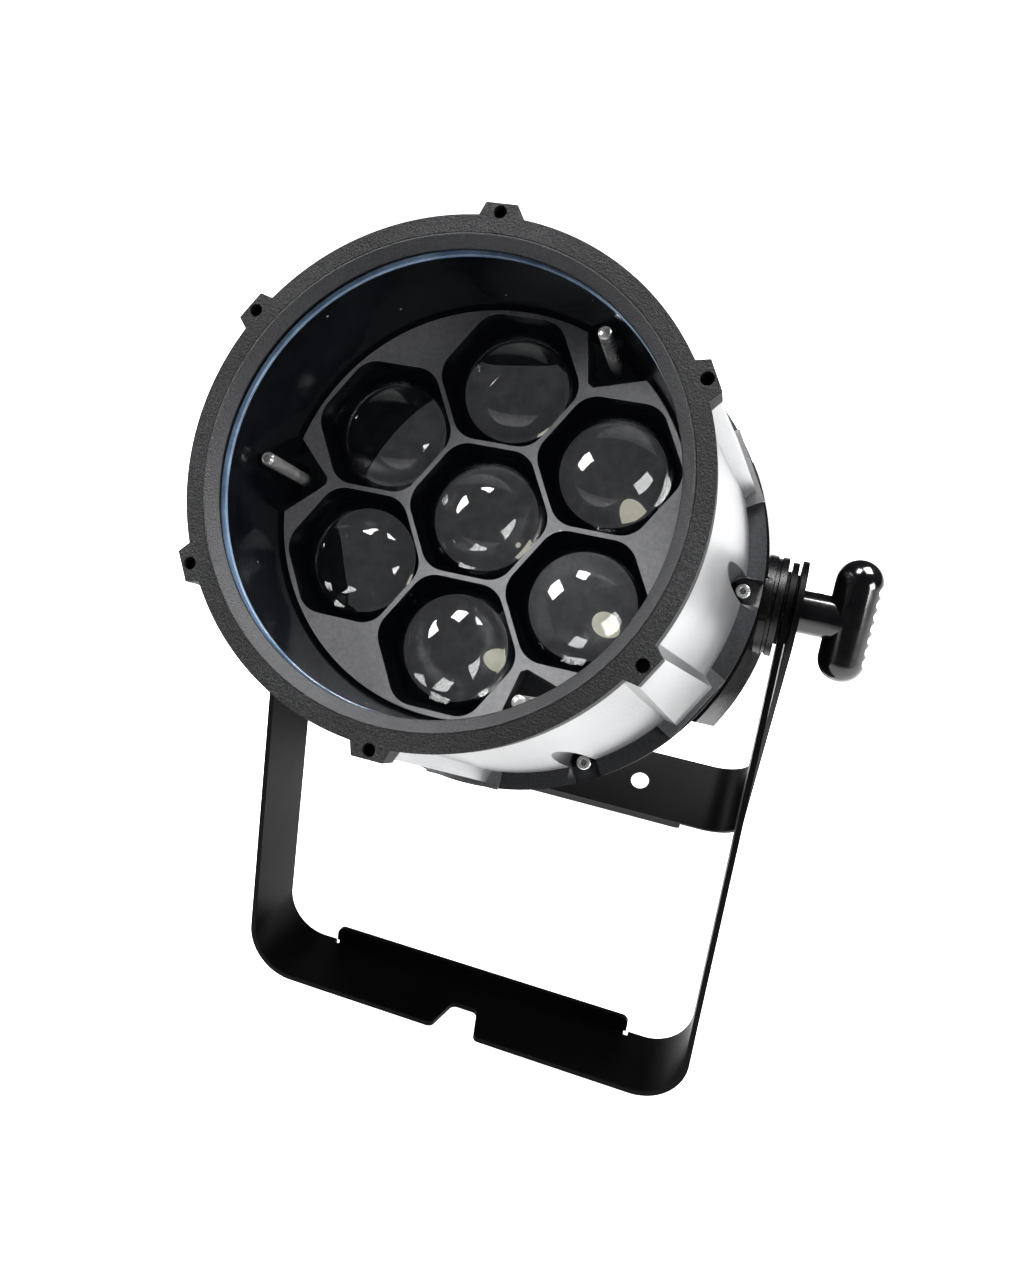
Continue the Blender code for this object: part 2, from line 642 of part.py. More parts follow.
def rear_cover():
    profile = [(0, cover_front), (103 * mm, cover_front), (105 * mm, cover_front - 1 * mm),
               (105 * mm, cover_front - 5 * mm), (101 * mm, cover_back), (0, cover_back)]
    item = turned("rear_cover", profile, silver, head)
    face = cover_back
    panel_low, panel_high = (-27 * mm, 30 * mm), (27 * mm, 58 * mm)
    recess = solid("window_recess", None, head, block((*panel_low, face - 2 * mm),
                                                      (*panel_high, face + 2 * mm)))
    combine(item, recess)
    window = solid("display_window", gloss_black, head,
                   block((panel_low[0] + gap, panel_low[1] + gap, face - 0.5 * mm),
                         (panel_high[0] - gap, panel_high[1] - gap, face + 2 * mm - gap)))
    ease(window, 0.4 * mm, 1)
    buttons = [(-24 * mm + 16 * mm * k, 14 * mm) for k in range(4)]
    key = 4.5 * mm
    combine(item, solid("button_wells", None, head,
                        *[cylinder(key + gap, face - 2 * mm, face + 4 * mm, at, sides=20) for at in buttons]))
    for k, (x, y) in enumerate(buttons):
        profile = [(0, face + 2.5 * mm), (key, face + 2.5 * mm), (key, face - 1 * mm),
                   (key - 0.8 * mm, face - 1.8 * mm), (0, face - 1.8 * mm)]
        turned("button_%d" % (k + 1), profile, rubber, head, 16, location=(x, y, 0))
    sockets = {"power_in_socket": (-48, -22, 14), "power_out_socket": (48, -22, 14),
               "dmx_in_socket": (-20, -44, 12), "dmx_out_socket": (20, -44, 12)}
    for name, (x, y, radius) in sockets.items():
        outer = radius * mm
        high = face - gap
        low = high - 12 * mm
        profile = [(0, high), (outer, high), (outer, high - 3 * mm), (outer - 2 * mm, low + 1 * mm),
                   (outer - 2.6 * mm, low), (outer - 4.5 * mm, low), (outer - 4.5 * mm, high - 3 * mm),
                   (0, high - 3 * mm)]
        turned(name, profile, gloss_black, head, 16, location=(x * mm, y * mm, 0))
    vent = [(0, face - gap), (7 * mm, face - gap), (7 * mm, face - 3 * mm), (5 * mm, face - 5 * mm),
            (0, face - 5 * mm)]
    turned("vent_valve", vent, rubber, head, 12, location=(0, -74 * mm, 0))
    eyelet()


def eyelet():
    """A flat steel loop for the safety cable, standing on the back cover near its top edge."""
    foot = cover_back - gap
    reach = 20 * mm
    half = 12 * mm
    outline = [(-half, 0), (half, 0), (half, -reach + half)]
    outline += arc((0, -reach + half), half, 0, -pi, 10)[1:]
    hole = arc((0, -reach + half + 1 * mm), 6.5 * mm, 0, 2 * pi, 16)[:-1]
    flat("safety_eyelet", [outline, hole], -1.5 * mm, 1.5 * mm, steel, head,
         location=(0, 82 * mm, foot), turn=across)


front_yoke()
rear_yoke()
for side, sign in (("left", -1), ("right", 1)):
    knob(side, sign)
    washers(side, sign)
front_bezel()
front_glass()
front_shell()
body_flange()
rear_body()
lens_tray()
lenses()
light_engine()
heat_sink()
fan()
electronics()
rear_cover()
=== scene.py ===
import json
import bmesh
import bpy
from math import asin, atan2, cos, pi, radians, sin
from mathutils import Matrix, Vector


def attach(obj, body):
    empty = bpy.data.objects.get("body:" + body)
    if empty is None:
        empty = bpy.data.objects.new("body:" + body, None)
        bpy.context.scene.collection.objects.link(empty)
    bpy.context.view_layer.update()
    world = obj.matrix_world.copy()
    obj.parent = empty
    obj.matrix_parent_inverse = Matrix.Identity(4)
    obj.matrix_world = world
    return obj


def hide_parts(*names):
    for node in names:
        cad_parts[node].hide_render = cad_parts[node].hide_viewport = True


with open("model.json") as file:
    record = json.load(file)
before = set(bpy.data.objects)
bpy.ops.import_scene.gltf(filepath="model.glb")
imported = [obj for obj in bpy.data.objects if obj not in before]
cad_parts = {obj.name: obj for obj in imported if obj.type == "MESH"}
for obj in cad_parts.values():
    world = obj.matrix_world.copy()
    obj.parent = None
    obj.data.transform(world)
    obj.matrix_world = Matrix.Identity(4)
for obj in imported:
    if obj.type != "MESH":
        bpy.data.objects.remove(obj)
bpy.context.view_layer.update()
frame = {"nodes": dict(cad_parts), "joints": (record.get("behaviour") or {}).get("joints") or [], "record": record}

mm = 0.001
joints = {joint["name"]: joint for joint in frame["joints"]}
pivot = Vector(joints["head_tilt"]["pos_m"])
forward = Vector(joints["zoom_slide"]["axis"])  # the way the beam leaves the head
frontLean = radians(17.951)
rearLean = radians(27.4)
headPlace = Matrix.Translation(pivot) @ Matrix.Rotation(atan2(-forward.y, forward.z), 4, "X")
frontPlace = Matrix.Translation(pivot) @ Matrix.Rotation(-frontLean, 4, "X")
rearPlace = Matrix.Translation(pivot) @ Matrix.Rotation(rearLean, 4, "X")
thirds = [radians(60 + 120 * k) for k in range(3)]
sixths = [radians(60 * k) for k in range(6)]
between = [radians(30 + 60 * k) for k in range(6)]
alongX = Matrix.Rotation(pi / 2, 4, "Y")
across = Matrix.Rotation(pi / 2, 4, "X")
roundSteps = 160
beyond = 0.2  # longer than any piece is wide, for cutters


def polar(radius, angle):
    return radius * cos(angle), radius * sin(angle)


def onHead(x, y):
    return headPlace @ Matrix.Translation((x, y, 0))


def addObject(name, mesh, material=None):
    item = bpy.data.objects.new(name, mesh)
    bpy.context.scene.collection.objects.link(item)
    if material:
        item.data.materials.append(material)
    return item


def settle(item, place=Matrix()):
    # applies the stack, then the place, and leaves the object at the origin
    bpy.context.view_layer.update()
    graph = bpy.context.evaluated_depsgraph_get()
    mesh = bpy.data.meshes.new_from_object(item.evaluated_get(graph), depsgraph=graph)
    item.modifiers.clear()
    item.data = mesh
    mesh.transform(place)
    mesh.name = item.name
    item.matrix_world = Matrix()
    return item


def cut(item, tool, operation="DIFFERENCE"):
    boolean = item.modifiers.new("cut", "BOOLEAN")
    boolean.operation = operation
    boolean.object = tool
    boolean.solver = "EXACT"
    settle(item)
    bpy.data.objects.remove(tool, do_unlink=True)
    return item


def join(item, tool):
    return cut(item, tool, "UNION")


def easeEdges(item, width, segments=2, angle=32, weighted=True):
    # live rounding on the sharp edges, with smooth faces between them
    for face in item.data.polygons:
        face.use_smooth = True
    bevel = item.modifiers.new("easedEdges", "BEVEL")
    bevel.width = width
    bevel.segments = segments
    bevel.limit_method = "ANGLE"
    bevel.angle_limit = radians(angle)
    bevel.use_clamp_overlap = True
    if weighted:
        item.modifiers.new("faceNormals", "WEIGHTED_NORMAL").keep_sharp = True
    return item


def secondFinish(tool, first, second):
    # a cutter that leaves its walls in the second finish
    tool.data.materials.clear()
    for material in (first, second):
        tool.data.materials.append(material)
    for face in tool.data.polygons:
        face.material_index = 1
    return tool


def fromShapes(name, *shapes, material=None):
    bm = bmesh.new()
    for shape in shapes:
        shape(bm)
    mesh = bpy.data.meshes.new(name)
    bm.to_mesh(mesh)
    bm.free()
    return addObject(name, mesh, material)


def cylinder(radius, low, high, at=(0, 0), turn=None, sides=48, top=None):
    def shape(bm):
        matrix = (turn or Matrix()) @ Matrix.Translation((at[0], at[1], (low + high) / 2))
        bmesh.ops.create_cone(bm, cap_ends=True, segments=sides, radius1=radius,
                              radius2=radius if top is None else top, depth=high - low, matrix=matrix)
    return shape


def block(low, high, turn=None):
    def shape(bm):
        size = Vector(high) - Vector(low)
        middle = (Vector(high) + Vector(low)) / 2
        bmesh.ops.create_cube(bm, size=1, matrix=(turn or Matrix()) @ Matrix.Translation(middle)
                              @ Matrix.Diagonal((*size, 1)))
    return shape


def turned(name, profile, material=None, steps=roundSteps, place=None):
    # profile of (radius, height) from top to bottom at +X; a ring closes on itself
    bm = bmesh.new()
    points = [bm.verts.new((radius, 0, height)) for radius, height in profile]
    for first, second in zip(points, points[1:]):
        bm.edges.new((first, second))
    if profile[0][0] > 0:
        bm.edges.new((points[-1], points[0]))
    mesh = bpy.data.meshes.new(name)
    bm.to_mesh(mesh)
    bm.free()
    item = addObject(name, mesh, material)
    screw = item.modifiers.new("turn", "SCREW")
    screw.steps = steps
    screw.render_steps = steps
    screw.use_merge_vertices = True
    screw.merge_threshold = 0.000005
    return settle(item, place or Matrix())


def arc(centre, radius, start, end, segments):
    angles = [start + (end - start) * k / segments for k in range(segments + 1)]
    return [(centre[0] + radius * cos(a), centre[1] + radius * sin(a)) for a in angles]


def rounded(corners, radius, segments=8):
    # an outline with each corner replaced by an arc
    outline = []
    for k, corner in enumerate(corners):
        corner = Vector(corner)
        back = (Vector(corners[k - 1]) - corner).normalized()
        ahead = (Vector(corners[(k + 1) % len(corners)]) - corner).normalized()
        half = back.angle(ahead) / 2
        reach = radius * cos(half) / sin(half)
        centre = corner + (back + ahead).normalized() * (radius / sin(half))
        start = corner + back * reach - centre
        end = corner + ahead * reach - centre
        sweep = start.angle_signed(end)
        for step in range(segments + 1):
            arm = start.copy()
            arm.rotate(Matrix.Rotation(-sweep * step / segments, 2))
            outline.append(tuple(centre + arm))
    return outline


def plate(name, outlines, low, high, material=None, turn=None):
    # a flat plate between two heights from filled and extruded outlines
    curve = bpy.data.curves.new(name, "CURVE")
    curve.dimensions = "2D"
    curve.fill_mode = "BOTH"
    curve.extrude = (high - low) / 2
    for outline in outlines:
        spline = curve.splines.new("POLY")
        spline.points.add(len(outline) - 1)
        for point, (x, y) in zip(spline.points, outline):
            point.co = (x, y, 0, 1)
        spline.use_cyclic_u = True
    draft = addObject(name + "Outline", curve)
    bpy.context.view_layer.update()
    graph = bpy.context.evaluated_depsgraph_get()
    mesh = bpy.data.meshes.new_from_object(draft.evaluated_get(graph))
    bpy.data.objects.remove(draft, do_unlink=True)
    bm = bmesh.new()
    bm.from_mesh(mesh)
    bmesh.ops.remove_doubles(bm, verts=bm.verts, dist=0.000001)
    bmesh.ops.dissolve_limit(bm, angle_limit=0.005, verts=bm.verts, edges=bm.edges)
    bmesh.ops.translate(bm, verts=bm.verts, vec=(0, 0, (low + high) / 2))
    bmesh.ops.recalc_face_normals(bm, faces=bm.faces)
    bm.transform(turn or Matrix())
    bm.to_mesh(mesh)
    bm.free()
    mesh.name = name
    mesh.materials.clear()
    return addObject(name, mesh, material)


def stand(item, body, slot, *nodes):
    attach(item, body)
    if nodes:
        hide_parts(*nodes)
    return item


print("finishes")


def groupSocket(group, name, kind, way, value=None):
    socket = group.interface.new_socket(name=name, in_out=way, socket_type=kind)
    if value is not None:
        socket.default_value = value


def newGroup(name, inputs, outputs):
    group = bpy.data.node_groups.new(name, "ShaderNodeTree")
    for label, value in inputs.items():
        groupSocket(group, label, "NodeSocketFloat", "INPUT", value)
    groupSocket(group, "Vector", "NodeSocketVector", "INPUT")
    for label in outputs:
        groupSocket(group, label, "NodeSocketFloat", "OUTPUT")
    return group, group.nodes.new("NodeGroupInput"), group.nodes.new("NodeGroupOutput")


def mathNode(tree, operation, first, second, clamp=False):
    node = tree.nodes.new("ShaderNodeMath")
    node.operation = operation
    node.use_clamp = clamp
    for socket, value in zip(node.inputs, (first, second)):
        if isinstance(value, (int, float)):
            socket.default_value = value
        else:
            tree.links.new(value, socket)
    return node.outputs[0]


def noiseNode(tree, vector, scale, detail=2.0, roughness=0.5):
    node = tree.nodes.new("ShaderNodeTexNoise")
    tree.links.new(vector, node.inputs["Vector"])
    if isinstance(scale, (int, float)):
        node.inputs["Scale"].default_value = scale
    else:
        tree.links.new(scale, node.inputs["Scale"])
    node.inputs["Detail"].default_value = detail
    node.inputs["Roughness"].default_value = roughness
    return node.outputs["Fac"]


def rangeNode(tree, value, low, high, toLow=0.0, toHigh=1.0):
    node = tree.nodes.new("ShaderNodeMapRange")
    tree.links.new(value, node.inputs["Value"])
    for label, number in (("From Min", low), ("From Max", high), ("To Min", toLow), ("To Max", toHigh)):
        node.inputs[label].default_value = number
    return node.outputs["Result"]


def makeGrain():
    # fine paint grain and broad unevenness
    group, source, sink = newGroup("paintGrain", {"Scale": 900.0, "Cloud Scale": 14.0}, ["Grain", "Cloud"])
    fine = noiseNode(group, source.outputs["Vector"], source.outputs["Scale"], 3.0, 0.6)
    broad = noiseNode(group, source.outputs["Vector"], source.outputs["Cloud Scale"], 3.0, 0.55)
    group.links.new(rangeNode(group, fine, 0.28, 0.72), sink.inputs["Grain"])
    group.links.new(rangeNode(group, broad, 0.3, 0.7), sink.inputs["Cloud"])
    return group


def makeSpecks():
    # sparse round specks such as dust, by density and size
    group, source, sink = newGroup("specks", {"Scale": 300.0, "Size": 0.15, "Share": 0.1}, ["Mask"])
    cells = group.nodes.new("ShaderNodeTexVoronoi")
    group.links.new(source.outputs["Vector"], cells.inputs["Vector"])
    group.links.new(source.outputs["Scale"], cells.inputs["Scale"])
    near = mathNode(group, "LESS_THAN", cells.outputs["Distance"], source.outputs["Size"])
    split = group.nodes.new("ShaderNodeSeparateColor")
    group.links.new(cells.outputs["Color"], split.inputs["Color"])
    chosen = mathNode(group, "LESS_THAN", split.outputs["Red"], source.outputs["Share"])
    bright = mathNode(group, "MULTIPLY", near, chosen)
    group.links.new(mathNode(group, "MULTIPLY", bright, split.outputs["Green"]), sink.inputs["Mask"])
    return group


grainGroup = makeGrain()
speckGroup = makeSpecks()


def placeGroup(tree, group, vector, values):
    node = tree.nodes.new("ShaderNodeGroup")
    node.node_tree = group
    tree.links.new(vector, node.inputs["Vector"])
    for label, value in values.items():
        node.inputs[label].default_value = value
    return node


def mixColour(tree, factor, first, second):
    node = tree.nodes.new("ShaderNodeMix")
    node.data_type = "RGBA"
    tree.links.new(factor, node.inputs["Factor"])
    for socket, value in ((node.inputs["A"], first), (node.inputs["B"], second)):
        if isinstance(value, tuple):
            socket.default_value = (*value, 1)
        else:
            tree.links.new(value, socket)
    return node.outputs["Result"]


def paint(name, dark, light, rough, metallic=0.0, grain=900.0, cloud=14.0, bump=0.1, depth=0.0002,
          specular=0.5, coat=0.0, coatRough=0.1, specks=None, speckColour=(0.8, 0.8, 0.8), contrast=1.0,
          glow=0.0):
    material = bpy.data.materials.new(name)
    material.use_nodes = True
    tree = material.node_tree
    shader = tree.nodes["Principled BSDF"]
    shader.inputs["Metallic"].default_value = metallic
    shader.inputs["Specular IOR Level"].default_value = specular
    shader.inputs["Coat Weight"].default_value = coat
    shader.inputs["Coat Roughness"].default_value = coatRough
    vector = tree.nodes.new("ShaderNodeTexCoord").outputs["Object"]
    grains = placeGroup(tree, grainGroup, vector, {"Scale": grain, "Cloud Scale": cloud})
    blend = mathNode(tree, "ADD", mathNode(tree, "MULTIPLY", grains.outputs["Grain"], 0.6),
                     mathNode(tree, "MULTIPLY", grains.outputs["Cloud"], 0.4))
    colour = mixColour(tree, mathNode(tree, "POWER", blend, contrast), dark, light)
    if specks:
        dots = placeGroup(tree, speckGroup, vector, specks)
        colour = mixColour(tree, dots.outputs["Mask"], colour, speckColour)
    tree.links.new(colour, shader.inputs["Base Color"])
    tree.links.new(colour, shader.inputs["Emission Color"])
    shader.inputs["Emission Strength"].default_value = glow
    tree.links.new(rangeNode(tree, blend, 0.0, 1.0, rough[0], rough[1]), shader.inputs["Roughness"])
    if bump:
        node = tree.nodes.new("ShaderNodeBump")
        node.inputs["Strength"].default_value = bump
        node.inputs["Distance"].default_value = depth
        tree.links.new(grains.outputs["Grain"], node.inputs["Height"])
        tree.links.new(node.outputs["Normal"], shader.inputs["Normal"])
    return material


def clearGlass(name, colour, ior, rough=(0.0, 0.02), alpha=1.0, transmission=1.0, coat=0.0):
    material = bpy.data.materials.new(name)
    material.use_nodes = True
    tree = material.node_tree
    shader = tree.nodes["Principled BSDF"]
    shader.inputs["Base Color"].default_value = (*colour, 1)
    shader.inputs["IOR"].default_value = ior
    shader.inputs["Transmission Weight"].default_value = transmission
    shader.inputs["Alpha"].default_value = alpha
    shader.inputs["Coat Weight"].default_value = coat
    shader.inputs["Coat Roughness"].default_value = 0.0
    vector = tree.nodes.new("ShaderNodeTexCoord").outputs["Object"]
    grains = placeGroup(tree, grainGroup, vector, {"Scale": 60.0, "Cloud Scale": 20.0})
    tree.links.new(rangeNode(tree, grains.outputs["Cloud"], 0.0, 1.0, rough[0], rough[1]),
                   shader.inputs["Roughness"])
    return material


dust = {"Scale": 160.0, "Size": 0.09, "Share": 0.10}
texturedBlack = paint("texturedBlackCoat", (0.0006, 0.0006, 0.0008), (0.046, 0.047, 0.05), (0.45, 0.62),
                      grain=1250.0, bump=1.0, depth=0.0005, contrast=3.0, specular=0.3)
innerBevelGrey = paint("bezelBevelGrey", (0.002, 0.002, 0.0025), (0.028, 0.029, 0.032), (0.4, 0.55),
                       grain=1500.0, bump=0.6, depth=0.0003, contrast=1.6)
satinBlack = paint("satinBlackPaint", (0.002, 0.002, 0.0022), (0.0045, 0.0045, 0.005), (0.36, 0.5),
                   grain=1100.0, bump=0.1, specular=0.1)
castBlack = paint("blackCasting", (0.003, 0.003, 0.0035), (0.009, 0.009, 0.0098), (0.24, 0.36),
                  grain=700.0, bump=0.2, specular=0.35)
# painted shade: this dark grey stands for the shade on the flange's front face and in the shell's screw channels,
# where the one casting looks dark from how light falls
anthracite = paint("castingPaintedShadeGrey", (0.022, 0.0225, 0.024), (0.045, 0.046, 0.05), (0.36, 0.5),
                   grain=700.0, bump=0.2, specular=0.4)
silverPaint = paint("silverPaint", (0.21, 0.212, 0.215), (0.36, 0.363, 0.368), (0.32, 0.46), metallic=0.92,
                    grain=1400.0, bump=0.16, specks={"Scale": 700.0, "Size": 0.25, "Share": 0.05},
                    speckColour=(0.10, 0.102, 0.105))
# painted light: the black tray's front faces are light grey for the light they catch from the front, while the cut
# walls keep the liner's black; the light specks are dust
trayPaintedLightGrey = paint("trayMouldingPaintedLight", (0.19, 0.19, 0.194), (0.29, 0.29, 0.295), (0.28, 0.42),
                 grain=500.0, bump=0.06, specks=dust, speckColour=(0.6, 0.6, 0.6))
linerBlack = paint("linerGlossBlack", (0.003, 0.003, 0.004), (0.009, 0.010, 0.012), (0.10, 0.22),
                   grain=120.0, bump=0.03, specks=dust, speckColour=(0.6, 0.62, 0.65))
glossBlack = paint("glossBlackMoulding", (0.004, 0.004, 0.0045), (0.009, 0.009, 0.01), (0.12, 0.22),
                   grain=160.0, bump=0.02, coat=0.3, coatRough=0.05)
rubberBlack = paint("blackRubber", (0.008, 0.008, 0.008), (0.02, 0.02, 0.02), (0.6, 0.75), grain=800.0)
brightSteel = paint("brightSteel", (0.62, 0.62, 0.61), (0.8, 0.8, 0.79), (0.14, 0.3), metallic=0.75,
                    grain=600.0, bump=0.08)
bareAluminium = paint("bareAluminium", (0.6, 0.6, 0.61), (0.78, 0.78, 0.79), (0.3, 0.45), metallic=1.0,
                      grain=400.0, bump=0.1)
boardGreen = paint("solderMask", (0.006, 0.012, 0.009), (0.012, 0.03, 0.018), (0.3, 0.45), grain=300.0,
                   specks={"Scale": 260.0, "Size": 0.3, "Share": 0.12}, speckColour=(0.5, 0.42, 0.25))
# painted light: the grey board glows at 0.22 though it is no lamp, to stay bright inside the lenses
boardGreyPaintedGlow = paint("greySolderMaskPaintedGlow", (0.16, 0.16, 0.17), (0.28, 0.28, 0.29), (0.35, 0.5), grain=300.0,
                  glow=0.22)
# painted light: the switched-off emitters glow at 0.55, standing in for the studio light on the cream phosphor
ledCreamPaintedGlow = paint("ledPhosphorPaintedGlow", (0.62, 0.60, 0.50), (0.74, 0.72, 0.62), (0.35, 0.5), grain=900.0, bump=0.1,
                 glow=0.55)
glassTint = paint("glassEdgeBlue", (0.05, 0.08, 0.13), (0.26, 0.34, 0.44), (0.08, 0.16), grain=60.0,
                  cloud=8.0, bump=0.0, coat=0.6, coatRough=0.03)
lensGlass = clearGlass("lensGlass", (0.97, 0.98, 0.98), 1.16, (0.0, 0.004), coat=1.0)
paneGlass = clearGlass("frontPaneGlass", (0.01, 0.012, 0.016), 1.5, (0.0, 0.02), alpha=0.05, transmission=0.0)
screenGlass = paint("displayGlass", (0.006, 0.008, 0.012), (0.012, 0.016, 0.024), (0.06, 0.12), grain=90.0,
                    bump=0.0, coat=0.5, coatRough=0.03)

slotFinish = {"textured_black": texturedBlack, "satin_black": satinBlack, "black_casting": castBlack,
              "anthracite": anthracite, "silver": silverPaint, "tray_black": trayPaintedLightGrey,
              "clear_glass": lensGlass, "steel": brightSteel, "bare_aluminium": bareAluminium,
              "rubber": rubberBlack, "gloss_black": glossBlack, "circuit": boardGreen}
for part in frame["record"]["subparts"]:  # what the detailed pieces don't replace keeps its CAD shape
    mesh = frame["nodes"][part["node"]].data
    mesh.materials.clear()
    mesh.materials.append(slotFinish[part["material_slot"]])

print("brackets")
bracket = {"plate": 3 * mm, "bend": 30 * mm, "lipHeight": 14 * mm, "lipHalf": 98 * mm, "lipCorner": 4 * mm,
           "pivotHole": 6.3 * mm, "slit": 1.5 * mm, "clear": 9 * mm,
           "frontLength": 292 * mm, "frontWidth": 48 * mm, "frontX": 138.2 * mm,
           "rearLength": 297 * mm, "rearWidth": 51 * mm, "rearX": 142.8 * mm,
           "notchMouth": 12.6 * mm, "notchEnd": 8 * mm, "notchFlare": 4 * mm, "holeRadius": 7 * mm,
           "sideHole": 61 * mm,
           "eased": 0.55 * mm}


def bandOutline(outerX, length):
    radius = bracket["bend"]
    inner = radius - bracket["plate"]
    turnX = outerX - radius
    turnZ = radius - length
    steps = 24
    outline = [(outerX, radius)]
    outline += arc((turnX, turnZ), radius, 0, -pi / 2, steps)
    outline += arc((-turnX, turnZ), radius, -pi / 2, -pi, steps)
    outline += [(-outerX, radius), (bracket["plate"] - outerX, radius)]
    outline += arc((-turnX, turnZ), inner, -pi, -pi / 2, steps)
    outline += arc((turnX, turnZ), inner, -pi / 2, 0, steps)
    return outline + [(outerX - bracket["plate"], radius)]


def bandPiece(name, outerX, length, width):
    # a bent strip, trimmed by its side outline with a round end about the pivot
    item = plate(name, [bandOutline(outerX, length)], -width, width, satinBlack, across)
    half = width / 2
    side = arc((0, 0), half, 0, pi, 40) + [(-half, -length - 5 * mm), (half, -length - 5 * mm)]
    cut(item, plate("bandSide", [side], -beyond, beyond, turn=Matrix.Rotation(pi / 2, 4, "Z") @ across),
        "INTERSECT")
    return cut(item, fromShapes("bandBore", cylinder(bracket["pivotHole"], -beyond, beyond, turn=alongX)))


def lipPlate(low, high, back, front):
    half = bracket["lipHalf"]
    outline = rounded([(-half, low), (half, low), (half, high), (-half, high)],
                      bracket["lipCorner"])
    return plate("lip", [outline], -front, -back, turn=across)


def buildFrontBracket():
    half = bracket["frontWidth"] / 2
    low = -bracket["frontLength"]
    item = bandPiece("frontBracket", bracket["frontX"], bracket["frontLength"], bracket["frontWidth"])
    join(item, lipPlate(low, low + bracket["lipHeight"], half - bracket["plate"], half))
    mouth, end, flare = bracket["notchMouth"], bracket["notchEnd"], bracket["notchFlare"]
    top = rounded([(mouth, -half), (end, 0), (-end, 0), (-mouth, -half)], flare)[9:27]
    side = arc((mouth + flare, -half + flare), flare, pi, 1.5 * pi, 8)[1:]
    edge, clear, slit = mouth + 2 * flare, bracket["clear"], bracket["slit"]
    outline = [(edge, -half - clear), (edge, -half)] + list(reversed(side)) + top
    outline += [(-x, y) for x, y in side] + [(-edge, -half), (-edge, -half - clear)]
    cut(item, plate("notch", [outline], low - clear, low + clear))
    cut(item, fromShapes("reliefs", *[block((x - slit, half - 4 * mm, low - 2 * mm),
                                            (x + slit, half + 2 * mm, low + 5 * mm))
                                      for x in (-bracket["lipHalf"], bracket["lipHalf"])]))
    easeEdges(settle(item, frontPlace), bracket["eased"])
    stand(item, "front_yoke", "satin_black", "front_yoke")


def buildRearBracket():
    half = bracket["rearWidth"] / 2
    inner = bracket["plate"] - bracket["rearLength"]
    item = bandPiece("rearBracket", bracket["rearX"], bracket["rearLength"], bracket["rearWidth"])
    join(item, lipPlate(inner - bracket["lipHeight"], inner, -half, bracket["plate"] - half))
    clear = bracket["clear"]
    holes = [cylinder(bracket["holeRadius"], inner - clear, inner + clear, (x, 0))
             for x in (-bracket["sideHole"], 0, bracket["sideHole"])]
    cut(item, fromShapes("holes", *holes))
    easeEdges(settle(item, rearPlace), bracket["eased"])
    stand(item, "rear_yoke", "satin_black", "rear_yoke")


buildFrontBracket()
buildRearBracket()

print("knobs")
knob = {"start": 143.1 * mm, "centre": 168 * mm, "radius": 11.8 * mm, "length": 64 * mm, "neck": 11.2 * mm,
        "scallop": 3.2 * mm, "scallopOut": 0.9 * mm, "pitch": 6.2 * mm,
        "dimple": 1.6 * mm, "dimpleAt": 8 * mm, "eased": 0.7 * mm}


def buildKnob(side, sign):
    radius, centre = knob["radius"], knob["centre"]
    straight = knob["length"] / 2 - radius
    profile = [(max(radius * sin(a), 0), straight + radius * cos(a)) for a in
               [pi / 2 * k / 12 for k in range(13)]]
    profile += [(r, -z) for r, z in reversed(profile)]
    item = turned(side + "Knob", profile, glossBlack, 64, Matrix.Translation((sign * centre, 0, 0)))
    low, high = sorted((sign * knob["start"], sign * centre))
    join(item, fromShapes("neck", cylinder(knob["neck"], low, high, turn=alongX, sides=64)))
    out = sign * (centre + radius + knob["scallopOut"])
    bites = [cylinder(knob["scallop"], -0.02, 0.02, sides=40,
                      turn=Matrix.Translation((out, 0, k * knob["pitch"])) @ across) for k in range(-3, 4)]
    cut(item, fromShapes("bites", *bites))
    dimple = cylinder(knob["dimple"], 7 * mm, 12 * mm, (sign * (knob["start"] + knob["dimpleAt"]), 0),
                      sides=24)
    cut(item, fromShapes("dimple", dimple))
    easeEdges(settle(item, frontPlace), knob["eased"], 3)
    stand(item, side + "_knob", "gloss_black", side + "_knob")


for side, sign in (("left", -1), ("right", 1)):
    buildKnob(side, sign)

print("casing")
casing = {"front": 180 * mm, "bezelDepth": 11.4 * mm, "bezelRadius": 102.5 * mm, "window": 90.3 * mm,
          "flat": 95.3 * mm, "earCircle": 104 * mm, "earReach": 107.5 * mm, "flangeFront": 35 * mm,
          "flangeBack": 24 * mm, "flangeRadius": 123 * mm, "shellRear": 114.5 * mm,
          "shellFront": 100.5 * mm, "screwCircle": 114 * mm, "channel": 6.5 * mm, "seat": 29 * mm,
          "gap": 0.3 * mm, "coverFront": -70 * mm, "earHole": 2.5 * mm, "glassSeat": 4.8 * mm,
          "shellBore": 104 * mm, "shellLip": 94.5 * mm, "padDepth": 3 * mm, "channelTop": 120 * mm}


